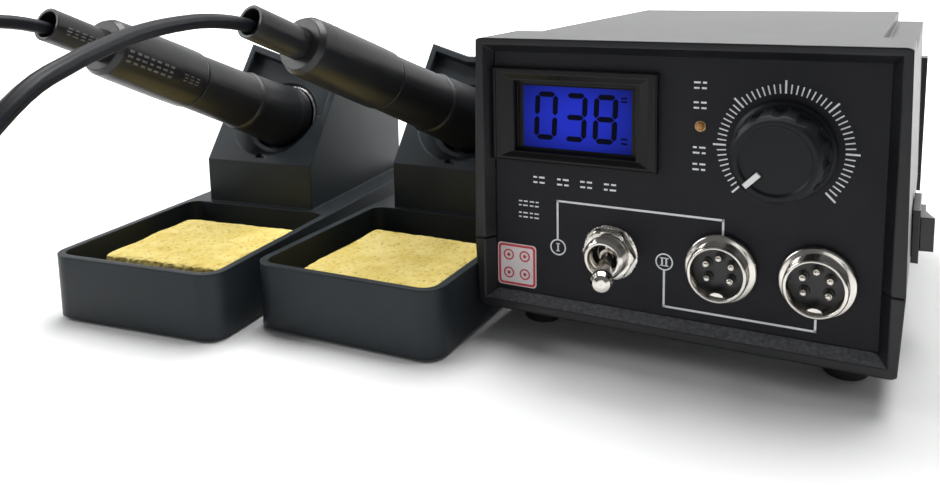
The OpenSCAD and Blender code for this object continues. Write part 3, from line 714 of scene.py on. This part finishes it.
SOCKETS = [(14.2, 30.6), (38.6, 30.6)]
PIN_RING, PIN_ANGLES = 3.7, (90, 152, 28, 216, 324)
SHELL_HEAD = [(6.9, -12), (7.7, -12), (8, -11.6), (8, 0), (9.35, 0), (9.6, 0.25), (9.6, 1.9),
              (9.3, 2.2), (8.9, 2.4), (8.25, 2.4)]
SHELL_TAIL = [(7.95, 6.35), (7.7, 6.85), (7.45, 7.0), (7.1, 7.0), (6.9, 6.8)]
CUP = [(0.85, 2.0), (1.45, 2.0), (1.3, 2.4), (0.85, 2.4)]
PIN = [(0, -15), (0.8, -15), (0.8, 2.1), (0.98, 2.2), (0.98, 4.2), (0.9, 4.55), (0.65, 4.85),
       (0.35, 4.97), (0, 5.0)]
for i, (x, z) in enumerate(SOCKETS):
    shell = threaded(f"socket_{i + 1}_thread", SHELL_HEAD, 2.6, 6.1, 8.0, SHELL_TAIL,
                     on_panel(x, z), 0.95, 0.42)
    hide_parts(f"socket_{i + 1}_shell")
    add(shell, "control_unit", nickel_mat)
    # bright key in the insert's lower edge
    key = [polar((x, z), 6.85, -107 + 34 * k / 12) for k in range(13)]
    key += [(x + 1.5, z - 5.75), (x + 0.6, z - 5.35), (x - 0.6, z - 5.35), (x - 1.5, z - 5.75)]
    add(plates(f"socket_{i + 1}_key", [key], 2.0, 5.6), "control_unit", nickel_mat)
    # raised rings round the pins, and the pins with rounded ends
    places = [on_panel(*polar((x, z), PIN_RING, a)) for a in PIN_ANGLES]
    cups = [lathe("cup", CUP, m, 20) for m in places]
    add(merge(f"socket_{i + 1}_pin_rings", cups), "control_unit", insert_mat)
    pins = [lathe("pin", PIN, m, 20, closed=False) for m in places]
    pins = merge(f"socket_{i + 1}_round_pins", pins)
    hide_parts(f"socket_{i + 1}_pins")
    add(pins, "control_unit", nickel_mat)

TOGGLE = on_panel(-17.1, 30.4)


HEX_HALF = 6.93     # half the nut's width across its flats


def hexed(r, z, a, k):
    return min(r, HEX_HALF / math.cos((a % math.radians(60)) - math.radians(30)))


def knurled(r, z, a, k):
    return r - (0.22 if r > 7.5 and int(a * 48 / math.pi) % 2 else 0)


nut = merge("switch_hex_nut", [
    lathe("n", [(6.0, 0.7), (7.7, 0.7), (8.0, 1.0), (8.0, 2.5), (7.6, 2.95), (7.0, 3.2), (6.0, 3.2)],
          TOGGLE, 96, 25, hexed),
    lathe("k", [(6.0, 0), (8.2, 0), (8.2, 0.6), (8.0, 0.7), (6.0, 0.7)], TOGGLE, 96, 25, knurled)])
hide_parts("toggle_nut")
add(nut, "control_unit", nickel_mat)
bush = threaded("switch_bush", [(3.2, -2), (6, -2), (6, 3.2)], 3.3, 6.9, 6.0,
                [(5.7, 7.1), (5.2, 7.8), (4.95, 7.9), (4.5, 7.9), (4.3, 7.7), (3.4, 1.5), (3.2, 1.4)],
                TOGGLE, 0.8, 0.3)
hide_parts("toggle_bush")
add(bush, "control_unit", nickel_mat)
# lamp's thin metal ring
lamp = lathe("lamp_ring", [(1.22, 0), (1.5, 0), (1.45, 0.25), (1.22, 0.3)], on_panel(7.8, 69.2), 32)
add(lamp, "control_unit", metal("lamp_brass", (0.7, 0.5, 0.26), 0.3))


# ---------------------------------------------------------------- sponges

CORNER, EDGE = 3, 2.2     # radii of the upright corners and of the other edges


# foam block as a fine grid on its six sides, rounded and then pitted with pores
def sponge_piece(i):
    x0, y0 = (3, 4.6)[i], (11.4, 5)[i]
    w, l, z0, z1 = 49.0, (45.2, 48.0)[i], 3.3, 19.9
    nx, ny, nz = 104, 104, 26
    bm = bmesh.new()
    grid = {}

    def vert(a, b, c):
        key = (a, b, c)
        if key not in grid:
            grid[key] = bm.verts.new((-w / 2 + w * a / nx, l * b / ny, z0 + (z1 - z0) * c / nz))
        return grid[key]
    for a in range(nx):
        for b in range(ny):
            for c in (0, nz):
                bm.faces.new((vert(a, b, c), vert(a + 1, b, c), vert(a + 1, b + 1, c), vert(a, b + 1, c)))
    for c in range(nz):
        for a in range(nx):
            for b in (0, ny):
                bm.faces.new((vert(a, b, c), vert(a + 1, b, c), vert(a + 1, b, c + 1), vert(a, b, c + 1)))
        for b in range(ny):
            for a in (0, nx):
                bm.faces.new((vert(a, b, c), vert(a, b + 1, c), vert(a, b + 1, c + 1), vert(a, b, c + 1)))
    bmesh.ops.recalc_face_normals(bm, faces=bm.faces)
    mid = Vector((0, l / 2, (z0 + z1) / 2))
    half = Vector((w / 2, l / 2, (z1 - z0) / 2))
    for v in bm.verts:
        p = v.co - mid
        cx, cy = max(0, abs(p.x) - (half.x - CORNER)), max(0, abs(p.y) - (half.y - CORNER))
        d = math.hypot(cx, cy)
        if cx > 0 and cy > 0 and d > CORNER:
            s = CORNER / d
            p.x = math.copysign(half.x - CORNER + cx * s, p.x)
            p.y = math.copysign(half.y - CORNER + cy * s, p.y)
            d = CORNER
        q = Vector((p.x, p.y, p.z + i * 31))
        side = max(0, d - (CORNER - EDGE))
        top = max(0, abs(p.z) - (half.z - EDGE))
        if side > 0 and top > 0:
            e = math.hypot(side, top) / EDGE
            if e > 1.0:
                p.z = math.copysign(half.z - EDGE + top / e, p.z)
                f = (side / e - side) * 0.8
                n = Vector((p.x / half.x, p.y / half.y, 0)).normalized()
                p += n * f
        pore = noise.voronoi(q * 0.62)[0][0]
        small = noise.voronoi(q * 1.5)[0][0]
        depth = max(0, 0.34 - pore) * 2.6 + max(0, 0.30 - small) * 1.5
        slow = noise.noise(q * 0.09) * 0.5 + noise.noise(q * 0.35) * 0.22
        n = v.normal.copy()
        p += n * (-0.35 - depth + slow * 0.9)
        v.co = p + mid
    o = from_bm(f"cleaning_sponge_{i + 1}_foam", bm)
    o.data.shade_smooth()
    o.data.transform(stand_matrix(i) @ Matrix.Translation(Vector((x0, y0, 0)) * MM)
                     @ Matrix.Scale(MM, 4))
    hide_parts(f"sponge_{i + 1}")
    return add(o, f"cleaning_sponge_{i + 1}", sponge_mat)


for i in (0, 1):
    sponge_piece(i)


# ---------------------------------------------------------------- irons

# three rows of plain dashes printed on an iron from l0 to l1 along it, on the side given by angle
def sleeve_print(name, i, l0, l1, count, angle, height, radius):
    r = random.Random(count)
    verts, faces = [], []
    m = iron_matrix(i)
    pitch = (l1 - l0) / count
    for k in range(count):
        for row in (-1, 0, 1):
            la = l0 + pitch * (k + 0.08 + r.uniform(0, 0.16))
            lb = l0 + pitch * (k + 0.66 + r.uniform(0, 0.2))
            for step in range(2):
                b = len(verts)
                for l in (la, lb):
                    rad = radius(l)
                    for t in (0, 1):
                        lift = row * height * 0.4 + (t + step - 1) * height * 0.085
                        da = math.radians(angle) + lift / rad
                        for r_out in (rad - 0.05, rad + 0.05):
                            p = Vector((r_out * math.cos(da), r_out * math.sin(da), l))
                            verts.append(m @ (p * MM))
                faces += [(b, b + 1, b + 3, b + 2), (b + 4, b + 6, b + 7, b + 5), (b, b + 4, b + 5, b + 1),
                          (b + 2, b + 3, b + 7, b + 6), (b + 1, b + 5, b + 7, b + 3), (b, b + 2, b + 6, b + 4)]
    return add(new_object(name, verts, faces), f"iron_{i + 1}", grey_print_mat)


# outer radius of the sleeve at l
def sleeve_r(l):
    pts = [(50.2, 9.8), (51, 10.2), (60, 10.1), (72, 9.8), (82, 9.5), (87, 9.2)]
    for (a, ra), (b, rb) in zip(pts, pts[1:]):
        if l <= b:
            return ra + (rb - ra) * (l - a) / (b - a)
    return 9.2


sleeve_print("iron_1_sleeve_print", 0, 66, 86, 7, -12, 4.2, sleeve_r)
sleeve_print("iron_1_sleeve_print_small", 0, 54, 62, 3, -12, 2.6, sleeve_r)
sleeve_print("iron_1_tail_print", 0, 93, 106, 5, -8, 2.4, lambda l: 5.0)
sleeve_print("iron_2_sleeve_print", 1, 78, 86, 3, 62, 3.0, sleeve_r)


# ---------------------------------------------------------------- small trim

# grained face of the lower lip, which slopes from the panel to the front; its light grey colour is painted
# sheen of light from above, the grain itself is real
def lip_grain_and_sheen():
    a, b = [(-53.1, 14.0, 0.3), (53.1, 14.0, 0.3)], [(55.5, 11.8, 3.9), (-55.5, 11.8, 3.9)]
    n = Vector((0, 3.6, 2.2)).normalized() * 0.06
    verts = [panel_pt(x, z, o) for x, z, o in a + b] + [panel_pt(x, z + n.y, o + n.z) for x, z, o in a + b]
    faces = [(0, 1, 2, 3), (4, 5, 6, 7), (0, 1, 5, 4), (1, 2, 6, 5), (2, 3, 7, 6), (3, 0, 4, 7)]
    return add(new_object("lower_lip_grain_and_sheen", verts, faces), "control_unit", grain_sheen_mat)


lip_grain_and_sheen()

# on and off marks of the mains rocker
ROCKER = (59.0, 50.0, 33.7)


def rocker_mark(name, outlines):
    tilt = math.radians(9)

    def place(y, z, out):
        x = 4.75 + out + abs(y) * 0.158
        px = x * math.cos(tilt) - y * math.sin(tilt)
        py = x * math.sin(tilt) + y * math.cos(tilt)
        return unit_pt(ROCKER[0] - 1 + px, ROCKER[1] + py, ROCKER[2] + z)
    return add(plates(name, outlines, -0.2, 0.06, place), "rocker", grey_print_mat)


rocker_mark("rocker_marks", arc_ring(-4.2, 0, 1.2, 1.6, n=24) + [rect(3.9, -1.5, 4.4, 1.5)])


# ---------------------------------------------------------------- floor, light and finish

def plane(name, size, z):
    s = size / 2
    return new_object(name, [(-s, -s, z), (s, -s, z), (s, s, z), (-s, s, z)], [(0, 1, 2, 3)])


# pale stage material that also glows between two places along an axis, so that the paper stays white
def paper(name, shade, glow_from=None, glow_to=None, strength=1.0, axis="Y", least=0.0):
    m, nt, p = node_tree(name)
    vec = tex_coords(nt)
    lo = tuple(c * 0.985 for c in shade)
    nt.links.new(ramp(nt, noise_node(nt, vec, 3, 2), [(0.3, lo), (0.7, shade)]), p.inputs["Base Color"])
    p.inputs["Roughness"].default_value = 0.8
    p.inputs["Specular IOR Level"].default_value = 0.2
    if glow_from is not None:
        split = nt.nodes.new("ShaderNodeSeparateXYZ")
        nt.links.new(vec, split.inputs["Vector"])
        amount = map_range(nt, split.outputs[axis], least, strength, glow_from, glow_to)
        nt.links.new(amount, p.inputs["Emission Strength"])
        p.inputs["Emission Color"].default_value = (1, 1, 1, 1)
    return m


floor = plane("floor", 12, -0.0002)
paint(floor, paper("floor_paper", (0.94, 0.94, 0.94), 0.12, 0.75, 0.95))
wall = new_object("backdrop", [(-4, 1.6, -0.1), (4, 1.6, -0.1), (4, 1.6, 1.4), (-4, 1.6, 1.4)],
                  [(0, 1, 2, 3)])
paint(wall, paper("backdrop_paper", (0.94, 0.94, 0.94), 0.34, 0.14, 1.0, "Z", 0.5))
world = bpy.data.worlds.new("studio")
world.use_nodes = True
world.node_tree.nodes["Background"].inputs["Color"].default_value = (0.97, 0.98, 1, 1)
world.node_tree.nodes["Background"].inputs["Strength"].default_value = 0.14
bpy.context.scene.world = world


def area(name, loc, target, size, size_y, power):
    light = bpy.data.lights.new(name, "AREA")
    light.shape = "RECTANGLE"
    light.size = size
    light.size_y = size_y
    light.energy = power
    o = bpy.data.objects.new(name, light)
    o.location = loc
    o.rotation_euler = (Vector(target) - Vector(loc)).to_track_quat("-Z", "Y").to_euler()
    bpy.context.scene.collection.objects.link(o)


area("key_above", (0.0, 0.28, 0.95), (0, -0.05, 0), 1.1, 0.6, 16)
area("left_box", (-1.15, -0.35, 0.68), (-0.05, 0, 0.05), 0.9, 0.7, 9)
area("front_fill", (0.45, -1.25, 0.30), (0.05, 0, 0.05), 0.7, 0.35, 0.8)

bpy.context.scene.view_settings.view_transform = "Standard"
bpy.context.scene.view_settings.look = "None"
